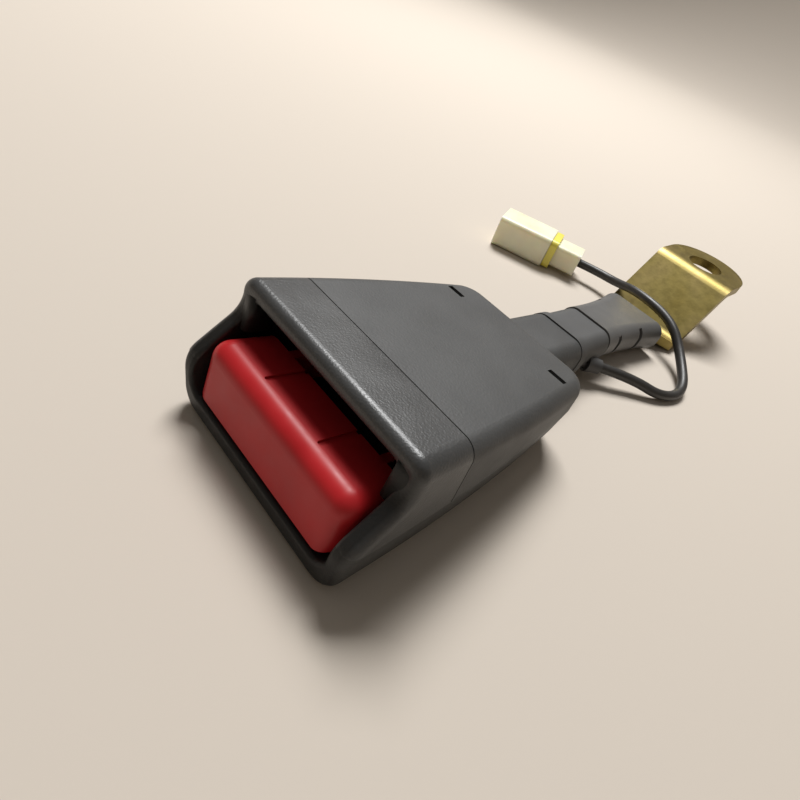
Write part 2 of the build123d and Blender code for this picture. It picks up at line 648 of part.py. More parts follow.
# Ejector, a fork that the tongue pushes back on either side of the tooth
with BuildPart() as ejector:
    with BuildSketch(plan(EJECTOR_BOTTOM)):
        with Locations((0, (EJECTOR_FRONT + EJECTOR_REAR) / 2)):
            Rectangle(EJECTOR_WIDTH, EJECTOR_LENGTH)
        with Locations((0, EJECTOR_FRONT)):
            Rectangle(
                EJECTOR_WIDTH - 2 * EJECTOR_ARM,
                2 * (EJECTOR_LENGTH - EJECTOR_BRIDGE),
                mode=Mode.SUBTRACT,
            )
    extrude(amount=EJECTOR_THICKNESS)
    fillet(ejector.edges().filter_by(Axis(spot(0, 0, 0), RISE)).group_by(Axis.Y)[0], EJECTOR_ARM / 4)
    with BuildSketch(across(LUG_START + LUG_LENGTH)):
        with Locations(((SWITCH_INSIDE + SWITCH_WIDTH / 4) / 2, LUG_MIDDLE)):
            Rectangle(SWITCH_INSIDE + SWITCH_WIDTH / 4, LUG_THICKNESS)
        with Locations((-(HALF_FRAME - RUNNING) / 2, LUG_MIDDLE)):
            Rectangle(HALF_FRAME - RUNNING, LUG_THICKNESS)
    extrude(amount=LUG_LENGTH)
    with BuildSketch(across(EJECTOR_REAR)):
        with Locations((0, EJECTOR_SPRING_LEVEL)):
            Circle(EJECTOR_SPRING_DIAMETER / 2 + SEATED)
    extrude(amount=EJECTOR_SPRING_POCKET, mode=Mode.SUBTRACT)

# Springs
with BuildPart() as button_springs:
    add(
        coil(
            spot(SPRING_OFFSET, BUTTON_FRONT + BUTTON_SPRING_REST, BUTTON_SPRING_LEVEL),
            RUN,
            CHEEK_FRONT - BUTTON_FRONT - BUTTON_SPRING_REST,
            BUTTON_SPRING_DIAMETER,
            BUTTON_SPRING_WIRE,
            BUTTON_SPRING_TURNS,
        )
    )
    mirror(about=Plane.YZ)

EJECTOR_SPRING_START = EJECTOR_REAR - EJECTOR_SPRING_POCKET
with BuildPart() as ejector_spring:
    add(
        coil(
            spot(0, EJECTOR_SPRING_START, EJECTOR_SPRING_LEVEL),
            RUN,
            FRAME_REAR - PLATE - EJECTOR_SPRING_START,
            EJECTOR_SPRING_DIAMETER,
            EJECTOR_SPRING_WIRE,
            EJECTOR_SPRING_TURNS,
        )
    )

with BuildPart() as latch_spring:
    add(
        coil(
            spot(0, LATCH_SPRING_SETBACK, LATCH_SPRING_BOTTOM),
            RISE,
            LATCH_SPRING_LENGTH,
            LATCH_SPRING_DIAMETER,
            LATCH_SPRING_WIRE,
            LATCH_SPRING_TURNS,
        )
    )

# Lower cover with the posts that carry the frame and the latch spring
with BuildPart() as posts:
    with BuildSketch(plan(PLATE_TOP - CHEEK_FRONT_DEPTH)):
        with Locations((HALF_FRAME - PLATE / 2, CHEEK_FRONT + CHEEK_FRONT_LENGTH - 2 * PLATE)):
            Rectangle(PLATE, 2 * PLATE)
    extrude(amount=-ROOF_Z)
    with BuildSketch(plan(CHEEK_BOTTOM)):
        with Locations((HALF_FRAME - PLATE / 2, PIVOT_SETBACK - 3 * PLATE)):
            Rectangle(PLATE, 2 * PLATE)
    extrude(amount=-ROOF_Z)
    mirror(about=Plane.YZ)
    with BuildSketch(plan(LATCH_SPRING_BOTTOM)):
        with Locations((0, LATCH_SPRING_SETBACK)):
            Circle(LATCH_SPRING_DIAMETER / 2 + WALL / 2)
    extrude(amount=-ROOF_Z)
    add(inner, mode=Mode.INTERSECT)

with BuildPart() as lower_cover:
    add(shell.part)
    split(bisect_by=Plane.XY.offset(PARTING_HEIGHT), keep=Keep.BOTTOM)
    fillet(rim_edges(lower_cover, False), RIM_RADIUS)
    fillet(rim_edges(lower_cover, True), THROAT_EDGE)
    add(posts.part)

# Belt switch beside the frame
with BuildPart() as switch_housing:
    with BuildSketch(flank(SWITCH_INSIDE)):
        with Locations((SWITCH_FRONT + SWITCH_LENGTH / 2, LUG_MIDDLE - SWITCH_HEIGHT / 4)):
            RectangleRounded(SWITCH_LENGTH, SWITCH_HEIGHT, SWITCH_HEIGHT / 8)
    extrude(amount=SWITCH_WIDTH)
    with BuildSketch(flank(SWITCH_INSIDE)):
        with Locations((LUG_START + LUG_PATH / 2, LUG_MIDDLE)):
            Rectangle(LUG_PATH + 2 * RUNNING, LUG_THICKNESS + 2 * RUNNING)
    extrude(amount=SWITCH_POCKET, mode=Mode.SUBTRACT)

with BuildPart() as switch_contacts:
    with BuildSketch(flank(SWITCH_INSIDE + SWITCH_POCKET)):
        with Locations((LUG_START + LUG_PATH / 2, LUG_MIDDLE)):
            with GridLocations(0, CONTACT_PITCH, 1, 2):
                Rectangle(LUG_PATH, CONTACT_WIDTH)
    extrude(amount=-SWITCH_CONTACT)

with BuildPart() as switch_bridge:
    with BuildSketch(flank(SWITCH_INSIDE + SWITCH_WIDTH / 4)):
        with Locations((LUG_START + LUG_LENGTH / 2, LUG_MIDDLE)):
            Rectangle(BRIDGE_LENGTH, LUG_THICKNESS)
    extrude(amount=SWITCH_CONTACT)

# Two wires from the switch to the head of the cable
WIRE_OFFSET = HALF_FRAME + WIRE_DIAMETER / 2 + SEATED
with BuildPart() as switch_wires:
    for step in (0.5, -0.5):
        shift = STALK_RISE * (WIRE_PITCH * step)
        points = (
            spot(WIRE_OFFSET, SWITCH_FRONT + SWITCH_LENGTH, WIRE_LEVEL + WIRE_PITCH * step),
            spot(WIRE_OFFSET, FRAME_REAR + WIRE_LEAD, WIRE_LEVEL + WIRE_PITCH * step),
            CABLE_HEAD - STALK_RUN * WIRE_LEAD + shift,
            CABLE_HEAD + shift,
        )
        add(tube(points, WIRE_DIAMETER))

with BuildPart() as inner_cable:
    add(tube(INNER_POINTS, CABLE_DIAMETER))

with BuildPart() as sensor_cable:
    add(tube(CABLE_POINTS, CABLE_DIAMETER))

# Anchor strap, bent up to a tab with the bolt hole
STRAP_FRONT = spot(0, FRAME_REAR + RUNNING, STRAP_LEVEL)
FLARE_START = STALK_TIP.Y + STRAP_THICKNESS
with BuildPart() as anchor_strap:
    with BuildLine() as spine:
        FilletPolyline(
            STRAP_FRONT,
            STALK_ORIGIN,
            STALK_TIP,
            (0, FRONT_Y + LOW_SETBACK, LOW_Z),
            (0, FRONT_Y + TAB_SETBACK, TAB_HEIGHT),
            (0, REAR_Y, TAB_HEIGHT),
            radius=STRAP_BEND_RADIUS,
        )
    with BuildSketch(Plane(origin=spine.line @ 0, x_dir=(1, 0, 0), z_dir=spine.line % 0)):
        Rectangle(TAB_WIDTH, STRAP_THICKNESS)
    sweep()
    with BuildSketch():
        with BuildLine():
            edge = Polyline(
                (0, FRONT_Y),
                (STRAP_WIDTH / 2, FRONT_Y),
                (STRAP_WIDTH / 2, FLARE_START),
                (TAB_WIDTH / 2, FLARE_START + (TAB_WIDTH - STRAP_WIDTH) / 2),
                (TAB_WIDTH / 2, ANCHOR_Y),
            )
            RadiusArc(edge @ 1, (0, REAR_Y), -TAB_WIDTH / 2)
            mirror(about=Plane.YZ)
        make_face()
    extrude(amount=2 * TAB_HEIGHT, mode=Mode.INTERSECT)
    with BuildSketch(Plane.XY.offset(TAB_HEIGHT)):
        with Locations((0, ANCHOR_Y)):
            Circle(ANCHOR_HOLE_DIAMETER / 2)
    extrude(amount=STRAP_THICKNESS, both=True, mode=Mode.SUBTRACT)
    with BuildSketch(plan(STRAP_LEVEL)):
        with Locations((0, RIVET_SETBACK)):
            Circle(RIVET_DIAMETER / 2)
    extrude(amount=STRAP_THICKNESS, both=True, mode=Mode.SUBTRACT)

with BuildPart() as strap_rivet:
    rivet_plane = Plane(origin=spot(0, RIVET_SETBACK, PLATE_BOTTOM), x_dir=(1, 0, 0), z_dir=-RUN)
    with BuildSketch(rivet_plane):
        with BuildLine():
            Polyline(
                (0, PLATE + RIVET_FLAT_HEIGHT),
                (RIVET_HEAD_DIAMETER / 2, PLATE + RIVET_FLAT_HEIGHT),
                (RIVET_HEAD_DIAMETER / 2, PLATE),
                (RIVET_DIAMETER / 2, PLATE),
                (RIVET_DIAMETER / 2, -STRAP_THICKNESS),
                (RIVET_HEAD_DIAMETER / 2, -STRAP_THICKNESS),
                (RIVET_DIAMETER / 2, -STRAP_THICKNESS - RIVET_HEAD_HEIGHT),
                (0, -STRAP_THICKNESS - RIVET_HEAD_HEIGHT),
                close=True,
            )
        make_face()
    revolve(axis=Axis(rivet_plane.origin, RISE))

# Grommet at the cable's exit
with BuildPart() as grommet_form:
    with BuildSketch(Plane(origin=GROMMET_BASE, z_dir=EXIT_HEADING)):
        Circle(GROMMET_DIAMETER / 2)
    with BuildSketch(Plane(origin=CABLE_EXIT, z_dir=EXIT_HEADING)):
        Circle(GROMMET_TIP_DIAMETER / 2)
    loft()

with BuildPart() as cable_grommet:
    add(grommet_form.part)
    with BuildSketch(Plane(origin=GROMMET_BASE, z_dir=EXIT_HEADING)):
        Circle(CABLE_DIAMETER / 2)
    extrude(amount=GROMMET_LENGTH, mode=Mode.SUBTRACT)

# Boot that closes the neck and lets the cable out
with BuildPart() as neck_boot:
    with BuildSketch(stalk(NECK_LENGTH + SEATED, -CABLE_SHIFT)):
        RectangleRounded(BOOT_WIDTH, BOOT_HEIGHT, NECK_RADIUS)
    with BuildSketch(stalk(SLEEVE_START, -CABLE_SHIFT / 3)):
        RectangleRounded(SLEEVE_WIDTH, SLEEVE_HEIGHT, NECK_RADIUS)
    loft()
    with BuildSketch(stalk(NECK_LENGTH + SEATED, -CABLE_SHIFT)):
        RectangleRounded(BOOT_WIDTH + 2 * BOOT_RING, BOOT_HEIGHT + 2 * BOOT_RING, NECK_RADIUS + BOOT_RING)
    extrude(amount=-SPIGOT_DEPTH)
    with BuildSketch(stalk(NECK_LENGTH - SPIGOT_DEPTH, -CABLE_SHIFT)):
        RectangleRounded(
            NECK_WIDTH - 2 * NECK_WALL - 2 * SEATED,
            NECK_HEIGHT - 2 * NECK_WALL - 2 * SEATED,
            NECK_BORE_RADIUS,
        )
    extrude(amount=-2 * SPIGOT_DEPTH)
    with BuildSketch(stalk(0, 0)):
        Rectangle(STRAP_WIDTH + 2 * SEATED, STRAP_THICKNESS + 2 * SEATED)
    extrude(amount=-STALK_LENGTH, mode=Mode.SUBTRACT)
    add(tube(INNER_POINTS, CABLE_DIAMETER + 2 * SEATED), mode=Mode.SUBTRACT)
    add(grommet_form.part, mode=Mode.SUBTRACT)

# Sleeve over the strap, flared at its end and slit so that it bends
with BuildPart() as strap_sleeve:
    with BuildSketch(stalk(SLEEVE_START + SEATED, 0)):
        RectangleRounded(SLEEVE_WIDTH, SLEEVE_HEIGHT, NECK_RADIUS)
    with BuildSketch(stalk((SLEEVE_START + STALK_LENGTH) / 2, 0)):
        RectangleRounded(SLEEVE_WAIST_WIDTH, SLEEVE_HEIGHT, NECK_RADIUS)
    with BuildSketch(stalk(STALK_LENGTH, 0)):
        RectangleRounded(SLEEVE_END_WIDTH, SLEEVE_HEIGHT, NECK_RADIUS)
    loft()
    for setback in (SLIT_BACK, SLIT_BACK + SLIT_PITCH):
        with BuildSketch(stalk(SLEEVE_START + setback, 0)):
            with Locations((SLEEVE_END_WIDTH / 2, 0), (-SLEEVE_END_WIDTH / 2, 0)):
                Rectangle(SLEEVE_END_WIDTH - SLEEVE_WIDTH + 2 * SLIT_DEPTH, SLEEVE_HEIGHT)
        extrude(amount=-SLIT_WIDTH, mode=Mode.SUBTRACT)
    with BuildSketch(stalk(0, 0)):
        Rectangle(STRAP_WIDTH + 2 * SEATED, STRAP_THICKNESS + 2 * SEATED)
    extrude(amount=-2 * STALK_LENGTH, mode=Mode.SUBTRACT)

# Connector on the end of the cable
with BuildPart() as connector_housing:
    with BuildSketch(connector_section(0)):
        RectangleRounded(CONNECTOR_NECK_WIDTH, CONNECTOR_NECK_HEIGHT, CONNECTOR_NECK_EDGE)
    extrude(amount=CONNECTOR_NECK_LENGTH)
    with BuildSketch(connector_section(CONNECTOR_NECK_LENGTH)):
        RectangleRounded(CONNECTOR_WIDTH, CONNECTOR_HEIGHT, CONNECTOR_EDGE)
    extrude(amount=CONNECTOR_LENGTH)
    with BuildSketch(connector_section(CONNECTOR_NECK_LENGTH + CONNECTOR_LENGTH)):
        with GridLocations(CONNECTOR_CAVITY_PITCH, 0, 2, 1):
            Rectangle(CONNECTOR_CAVITY, CONNECTOR_CAVITY)
    extrude(amount=-CONNECTOR_CAVITY_DEPTH, mode=Mode.SUBTRACT)

with BuildPart() as connector_lock:
    with BuildSketch(connector_section(CONNECTOR_NECK_LENGTH - SEATED)):
        RectangleRounded(
            CONNECTOR_NECK_WIDTH + 2 * CONNECTOR_LOCK_WALL,
            CONNECTOR_NECK_HEIGHT + 2 * CONNECTOR_LOCK_WALL,
            CONNECTOR_EDGE,
        )
        RectangleRounded(
            CONNECTOR_NECK_WIDTH + 2 * SEATED,
            CONNECTOR_NECK_HEIGHT + 2 * SEATED,
            CONNECTOR_NECK_EDGE,
            mode=Mode.SUBTRACT,
        )
    extrude(amount=-CONNECTOR_LOCK_LENGTH)

with BuildPart() as connector_terminals:
    with BuildSketch(connector_section(CONNECTOR_NECK_LENGTH + CONNECTOR_LENGTH - CONNECTOR_CAVITY_DEPTH)):
        with GridLocations(CONNECTOR_CAVITY_PITCH, 0, 2, 1):
            Rectangle(CONNECTOR_CAVITY - 2 * SEATED, CONNECTOR_CAVITY - 2 * SEATED)
            Rectangle(TERMINAL_BORE, TERMINAL_BORE, mode=Mode.SUBTRACT)
    extrude(amount=TERMINAL_LENGTH)

pieces = {
    "front_hood": front_hood,
    "upper_cover": upper_cover,
    "lower_cover": lower_cover,
    "release_button": release_button,
    "button_springs": button_springs,
    "frame": frame,
    "latch": latch,
    "latch_pivot_pin": latch_pivot_pin,
    "latch_spring": latch_spring,
    "ejector": ejector,
    "ejector_spring": ejector_spring,
    "switch_housing": switch_housing,
    "switch_contacts": switch_contacts,
    "switch_bridge": switch_bridge,
    "switch_wires": switch_wires,
    "inner_cable": inner_cable,
    "anchor_strap": anchor_strap,
    "strap_rivet": strap_rivet,
    "neck_boot": neck_boot,
    "strap_sleeve": strap_sleeve,
    "cable_grommet": cable_grommet,
    "sensor_cable": sensor_cable,
    "connector_housing": connector_housing,
    "connector_lock": connector_lock,
    "connector_terminals": connector_terminals,
}
os.makedirs("parts", exist_ok=True)
for name, piece in pieces.items():
    piece.part.label = name
    export_step(piece.part, f"parts/{name}.step")

print("cable radii", [round(radius, 1) for radius in corner_radii(CABLE_POINTS)])
print("inner cable radii", [round(radius, 1) for radius in corner_radii(INNER_POINTS)])
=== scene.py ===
"""Dressing of a front-release seat belt buckle: its finishes, cable, springs, moulded detail and stage."""

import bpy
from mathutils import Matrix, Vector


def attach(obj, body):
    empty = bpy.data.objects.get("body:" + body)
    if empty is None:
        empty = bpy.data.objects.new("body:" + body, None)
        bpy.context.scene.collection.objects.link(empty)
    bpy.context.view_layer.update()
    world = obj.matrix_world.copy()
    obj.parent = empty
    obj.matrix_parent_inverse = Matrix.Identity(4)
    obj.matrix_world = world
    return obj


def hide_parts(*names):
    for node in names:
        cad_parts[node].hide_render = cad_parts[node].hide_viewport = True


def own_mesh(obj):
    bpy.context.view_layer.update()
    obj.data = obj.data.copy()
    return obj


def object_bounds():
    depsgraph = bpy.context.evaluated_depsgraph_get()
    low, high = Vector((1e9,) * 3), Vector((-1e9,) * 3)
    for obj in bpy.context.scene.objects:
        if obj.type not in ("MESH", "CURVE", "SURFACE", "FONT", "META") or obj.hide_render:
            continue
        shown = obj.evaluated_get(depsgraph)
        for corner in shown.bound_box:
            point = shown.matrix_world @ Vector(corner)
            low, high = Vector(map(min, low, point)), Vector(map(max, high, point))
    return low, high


bl_info = {
    "name": "Seat Belt Buckle",
    "version": (1, 0, 0),
    "blender": (4, 5, 0),
    "location": "View3D > Sidebar > Buckle",
    "description": "Finishes, cable, springs, moulded detail and stage of a seat belt buckle",
    "category": "Object",
}

import math
from typing import NamedTuple

import bmesh
import bpy
from bpy.props import FloatProperty, FloatVectorProperty, PointerProperty
from mathutils import Matrix, Vector

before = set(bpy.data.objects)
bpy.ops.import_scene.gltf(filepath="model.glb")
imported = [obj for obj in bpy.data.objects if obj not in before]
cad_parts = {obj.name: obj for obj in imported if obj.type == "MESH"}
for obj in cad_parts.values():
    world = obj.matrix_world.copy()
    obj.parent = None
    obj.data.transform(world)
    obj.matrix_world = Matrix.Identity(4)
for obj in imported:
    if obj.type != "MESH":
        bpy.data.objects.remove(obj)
cad_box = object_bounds()


class Spring(NamedTuple):
    """Compression spring, placed across, along and away from the roof line, in metres."""

    name: str
    node: str
    joint: str
    offsets: tuple
    setback: float
    level: float
    upright: bool
    length: float
    diameter: float
    wire: float
    turns: int
    travel: float


class Lamp(NamedTuple):
    """Square soft lamp with its place and the point that it is aimed at, in metres."""

    name: str
    place: tuple
    target: tuple
    size: float


# Roof line of the housing in metres and radians
ROOF_HEIGHT = 0.029046
ROOF_SLOPE = math.radians(8.2971)

# Fades of the painted shade inside the mouth in metres: across, under the roof, back from the front, over
# the floor
MOUTH_SHADE_ACROSS = (0.0246, 0.0256)
MOUTH_SHADE_UNDER_ROOF = (-0.0026, -0.0016)
MOUTH_SHADE_FROM_FRONT = (0.0180, 0.0220)
MOUTH_SHADE_OVER_FLOOR = (0.0006, 0.0020)

# Steps of a mouth cheek's rounding
CHEEK_STEPS = 6

# Springs, with faces around the wire and steps in one turn
SPRINGS = (
    Spring(
        name="button_coils",
        node="button_springs",
        joint="button_press",
        offsets=(-0.01755, 0.01755),
        setback=0.0080,
        level=-0.0150,
        upright=False,
        length=0.0160,
        diameter=0.0032,
        wire=0.0006,
        turns=5,
        travel=0.0065,
    ),
    Spring(
        name="ejector_coil",
        node="ejector_spring",
        joint="ejector_slide",
        offsets=(0.0,),
        setback=0.0420,
        level=-0.0075,
        upright=False,
        length=0.0173,
        diameter=0.0034,
        wire=0.0006,
        turns=6,
        travel=0.0080,
    ),
    Spring(
        name="latch_coil",
        node="latch_spring",
        joint="latch_pivot",
        offsets=(0.0,),
        setback=0.0460,
        level=-0.0193,
        upright=True,
        length=0.0062,
        diameter=0.0050,
        wire=0.0007,
        turns=4,
        travel=0.0029,
    ),
)
WIRE_SIDES = 10
COIL_STEPS = 28

# Route of the cable in metres, from the grommet over the strap to the connector
CABLE_ROUTE = (
    (0.0108, 0.0066, 0.0052),
    (0.0180, 0.0150, 0.0042),
    (0.0270, 0.0220, 0.0016),
    (0.0290, 0.0330, 0.0016),
    (0.0200, 0.0440, 0.0050),
    (0.0100, 0.0500, 0.0103),
    (-0.0060, 0.0540, 0.0103),
    (-0.0160, 0.0590, 0.0065),
    (-0.0245, 0.0596, 0.0055),
    (-0.0315, 0.0564, 0.0055),
)

# Usual lowest and highest values of a noise
NOISE_LOW = 0.3
NOISE_HIGH = 0.7

# Patches of the strap's plating, as shares of its colour along a noise
PLATING_PATCHES = (
    (0.25, (0.885, 0.854, 0.714)),
    (0.45, (1.0, 1.0, 1.0)),
    (0.6, (1.096, 1.073, 1.214)),
    (0.75, (0.962, 1.024, 1.071)),
)

# Photograph's camera: place in metres, directions, focal length and frame in pixels, sensor in millimetres
CAMERA_PLACE = (0.05105, -0.13543, 0.08424)
CAMERA_BACK = (0.4371, -0.6267, 0.6452)
CAMERA_RIGHT = (0.6217, 0.7289, 0.2867)
FOCAL_PIXELS = 560.5
FRAME_PIXELS = 800.0
SENSOR_WIDTH = 36.0
NEAREST_SEEN = 0.005

# Lamps and backdrop in metres
KEY_LAMP = Lamp("key_lamp", place=(-0.42, 0.37, 0.90), target=(0.0, -0.03, 0.01), size=0.40)
WALL_LAMP = Lamp("wall_lamp", place=(-0.3, 0.9, 1.0), target=(-0.5, 1.8, 0.2), size=0.6)
SWEEP_REACH = 2.0
SWEEP_RADIUS = 1.2
SWEEP_STEPS = 24


def colour_prop(name, description, default):
    """Colour setting in scene-linear values."""
    return FloatVectorProperty(
        name=name, description=description, default=default, subtype="COLOR", size=3, min=0.0, max=1.0
    )


def length_prop(name, description, default):
    """Length setting in metres."""
    return FloatProperty(
        name=name, description=description, default=default, min=0.0, unit="LENGTH", precision=5
    )


def power_prop(name, description, default):
    """Lamp power in watts."""
    return FloatProperty(name=name, description=description, default=default, min=0.0, unit="POWER")


class BuckleFinishes(bpy.types.PropertyGroup):
    """Colours of the buckle's plastics, metals and rubber."""

    hood: colour_prop("Hood", "Satin plastic of the band over the tongue slot", (0.058, 0.0585, 0.058))
    cover: colour_prop("Cover", "Matte plastic of the rear cover", (0.055, 0.0555, 0.0545))
    base: colour_prop("Base", "Matte plastic of the lower cover", (0.050, 0.0505, 0.0495))
    # Painted shade: this dark tone is painted inside the mouth; it is also the switch housing's own
    # plastic
    mouth_shade_and_switch: colour_prop("Mouth", "Dark plastic inside the mouth and of the switch", (0.013, 0.013, 0.0125))
    button: colour_prop("Button", "Red plastic of the release button", (0.50, 0.016, 0.020))
    rubber: colour_prop("Boot", "Rubber of the boot and grommet", (0.072, 0.072, 0.071))
    sleeve: colour_prop("Sleeve", "Plastic of the strap sleeve", (0.10, 0.10, 0.099))
    cable: colour_prop("Cable", "Sheath of the sensor cable", (0.035, 0.033, 0.031))
    plating: colour_prop("Plating", "Yellow zinc plating of the strap", (0.26, 0.205, 0.07))
    steel: colour_prop("Steel", "Bright zinc on the frame and latch", (0.55, 0.56, 0.57))
    acetal: colour_prop("Acetal", "Natural plastic of the ejector", (0.78, 0.76, 0.68))
    brass: colour_prop("Brass", "Contacts and terminals", (0.72, 0.52, 0.22))
    connector: colour_prop("Connector", "Cream nylon of the connector", (0.94, 0.84, 0.62))
    lock: colour_prop("Connector lock", "Yellow lock band of the connector", (0.86, 0.74, 0.12))


class BuckleSizes(bpy.types.PropertyGroup):
    """Sizes of the cable, the surface grain and the cheeks."""

    cable_diameter: length_prop("Cable diameter", "Outside of the sensor cable", 0.003)
    cover_grain: length_prop("Cover grain", "Size of the grain on the matte covers", 0.00045)
    hood_grain: length_prop("Hood grain", "Size of the grain on the hood", 0.0004)
    cheek_offset: length_prop("Cheek offset", "Inside of a mouth cheek from the middle", 0.0204)
    cheek_setback: length_prop("Cheek setback", "Front of a mouth cheek along the roof", 0.0102)
    cheek_drop: length_prop("Cheek drop", "Underside of a mouth cheek below the roof", 0.0099)
    cheek_width: length_prop("Cheek width", "Mouth cheek across", 0.0042)
    cheek_length: length_prop("Cheek length", "Mouth cheek along the roof", 0.0060)
    cheek_height: length_prop("Cheek height", "Mouth cheek upright", 0.0075)
    cheek_flare: length_prop("Cheek flare", "Lead of a mouth cheek's front", 0.0012)
    cheek_round: length_prop("Cheek rounding", "Edge radius of a mouth cheek", 0.0016)


class BuckleStage(bpy.types.PropertyGroup):
    """Floor, world and lamps."""

    floor: colour_prop("Floor", "Pale floor", (0.62, 0.555, 0.48))
    world: colour_prop("World", "Soft light from all around", (1.0, 0.99, 0.97))
    world_strength: FloatProperty(
        name="World strength", description="Strength of the light from all around", default=0.18, min=0.0
    )
    key_power: power_prop("Key lamp", "Soft lamp behind the left side", 14.5)
    wall_power: power_prop("Wall lamp", "Soft lamp on the backdrop", 2.0)


class Finish:
    """Procedural material around one principled shader, patterned on Object coordinates."""

    def __init__(self, name, colour, metallic=0.0):
        self.material = bpy.data.materials.new(name)
        self.material.use_nodes = True
        self.tree = self.material.node_tree
        self.shader = self.tree.nodes["Principled BSDF"]
        self.coords = self.tree.nodes.new("ShaderNodeTexCoord").outputs["Object"]
        self.colour = tuple(colour)
        self.set("Base Color", self.colour + (1.0,))
        self.set("Metallic", metallic)

    def set(self, socket, value):
        """Sets a constant on the shader."""
        self.shader.inputs[socket].default_value = value

    def feed(self, socket, output):
        """Links an output to the shader."""
        self.tree.links.new(output, self.shader.inputs[socket])

    def noise(self, grain, detail=2.0, stretch=(1.0, 1.0, 1.0)):
        """Noise whose patches are about one grain wide."""
        mapping = self.tree.nodes.new("ShaderNodeMapping")
        mapping.inputs["Scale"].default_value = stretch
        texture = self.tree.nodes.new("ShaderNodeTexNoise")
        texture.inputs["Scale"].default_value = 1.0 / grain
        texture.inputs["Detail"].default_value = detail
        self.tree.links.new(self.coords, mapping.inputs["Vector"])
        self.tree.links.new(mapping.outputs["Vector"], texture.inputs["Vector"])
        return texture.outputs["Fac"]

    def cells(self, grain):
        """Rounded cells about one grain wide, as left by a spark-eroded mould."""
        texture = self.tree.nodes.new("ShaderNodeTexVoronoi")
        texture.feature = "SMOOTH_F1"
        texture.inputs["Scale"].default_value = 1.0 / grain
        self.tree.links.new(self.coords, texture.inputs["Vector"])
        return texture.outputs["Distance"]

    def span(self, value, low, high, bottom, top):
        """Maps a value's range from low to high onto bottom to top."""
        node = self.tree.nodes.new("ShaderNodeMapRange")
        node.inputs["From Min"].default_value = low
        node.inputs["From Max"].default_value = high
        node.inputs["To Min"].default_value = bottom
        node.inputs["To Max"].default_value = top
        self.tree.links.new(value, node.inputs["Value"])
        return node.outputs["Result"]

    def shades(self, value, stops):
        """Colours along a value."""
        node = self.tree.nodes.new("ShaderNodeValToRGB")
        ramp = node.color_ramp
        ramp.elements[0].position = stops[0][0]
        ramp.elements[0].color = stops[0][1] + (1.0,)
        ramp.elements[1].position = stops[-1][0]
        ramp.elements[1].color = stops[-1][1] + (1.0,)
        for place, shade in stops[1:-1]:
            ramp.elements.new(place).color = shade + (1.0,)
        self.tree.links.new(value, node.inputs["Fac"])
        return node.outputs["Color"]

    def math(self, operation, *values):
        """Works out one value from others."""
        node = self.tree.nodes.new("ShaderNodeMath")
        node.operation = operation
        for socket, value in zip(node.inputs, values):
            self.tree.links.new(value, socket)
        return node.outputs["Value"]

    def place(self, origin, turn):
        """Coordinates in a frame with its own origin and turn, one output for each axis."""
        mapping = self.tree.nodes.new("ShaderNodeMapping")
        mapping.vector_type = "TEXTURE"
        mapping.inputs["Location"].default_value = origin
        mapping.inputs["Rotation"].default_value = turn
        split = self.tree.nodes.new("ShaderNodeSeparateXYZ")
        self.tree.links.new(self.coords, mapping.inputs["Vector"])
        self.tree.links.new(mapping.outputs["Vector"], split.inputs["Vector"])
        return split.outputs

    def cloud(self, grain, detail, dark, light):
        """Lets the colour drift between a darker and a lighter tone."""
        stops = ((NOISE_LOW, tint(self.colour, dark)), (NOISE_HIGH, tint(self.colour, light)))
        self.feed("Base Color", self.shades(self.noise(grain, detail), stops))

    def wear(self, pattern, smooth, rough, low=NOISE_LOW):
        """Lets the roughness follow a pattern."""
        self.feed("Roughness", self.span(pattern, low, NOISE_HIGH, smooth, rough))

    def cover(self, mask, colour):
        """Lays a colour over the shader's own where a mask is one."""
        node = self.tree.nodes.new("ShaderNodeMix")
        node.data_type = "RGBA"
        first, second = [socket for socket in node.inputs if socket.type == "RGBA"]
        result = next(socket for socket in node.outputs if socket.type == "RGBA")
        second.default_value = tuple(colour) + (1.0,)
        base = self.shader.inputs["Base Color"]
        self.tree.links.new(mask, node.inputs["Factor"])
        self.tree.links.new(base.links[0].from_socket, first)
        self.tree.links.new(result, base)

    def relief(self, height, depth):
        """Adds a bump of a depth in metres over what the shader already has."""
        node = self.tree.nodes.new("ShaderNodeBump")
        node.inputs["Distance"].default_value = depth
        node.inputs["Strength"].default_value = 1.0
        normal = self.shader.inputs["Normal"]
        if normal.is_linked:
            self.tree.links.new(normal.links[0].from_socket, node.inputs["Normal"])
        self.tree.links.new(height, node.inputs["Height"])
        self.tree.links.new(node.outputs["Normal"], normal)


def tint(colour, factor):
    """Colour made lighter or darker."""
    return tuple(min(1.0, channel * factor) for channel in colour)


def grained_plastic(name, colour, roughness, grain, depth):
    """Moulded plastic with a spark-eroded grain, faint cloudiness and handling marks."""
    finish = Finish(name, colour)
    finish.cloud(grain=0.018, detail=3.0, dark=0.82, light=1.2)
    rub = finish.noise(grain=0.007, detail=4.0)
    finish.wear(rub, smooth=roughness - 0.04, rough=roughness + 0.05, low=0.35)
    finish.relief(finish.cells(grain), depth)
    finish.relief(finish.noise(grain * 0.6), depth * 0.5)
    return finish


def metal(name, colour, roughness):
    """Rolled or drawn metal with fine lines along its length."""
    finish = Finish(name, colour, metallic=1.0)
    lines = finish.noise(grain=0.0012, detail=3.0, stretch=(1.0, 0.08, 1.0))
    finish.wear(lines, smooth=roughness - 0.07, rough=roughness + 0.1)
    finish.relief(lines, depth=0.000006)
    finish.cloud(grain=0.009, detail=2.0, dark=0.88, light=1.08)
    return finish


def add_piece(context, name, shape, finish):
    """Turns a finished shape into a piece that rides on the housing."""
    for face in shape.faces:
        face.smooth = True
    mesh = bpy.data.meshes.new(name)
    shape.to_mesh(mesh)
    shape.free()
    mesh.materials.append(finish.material)
    piece = bpy.data.objects.new(name, mesh)
    context.scene.collection.objects.link(piece)
    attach(piece, "housing")
    return piece


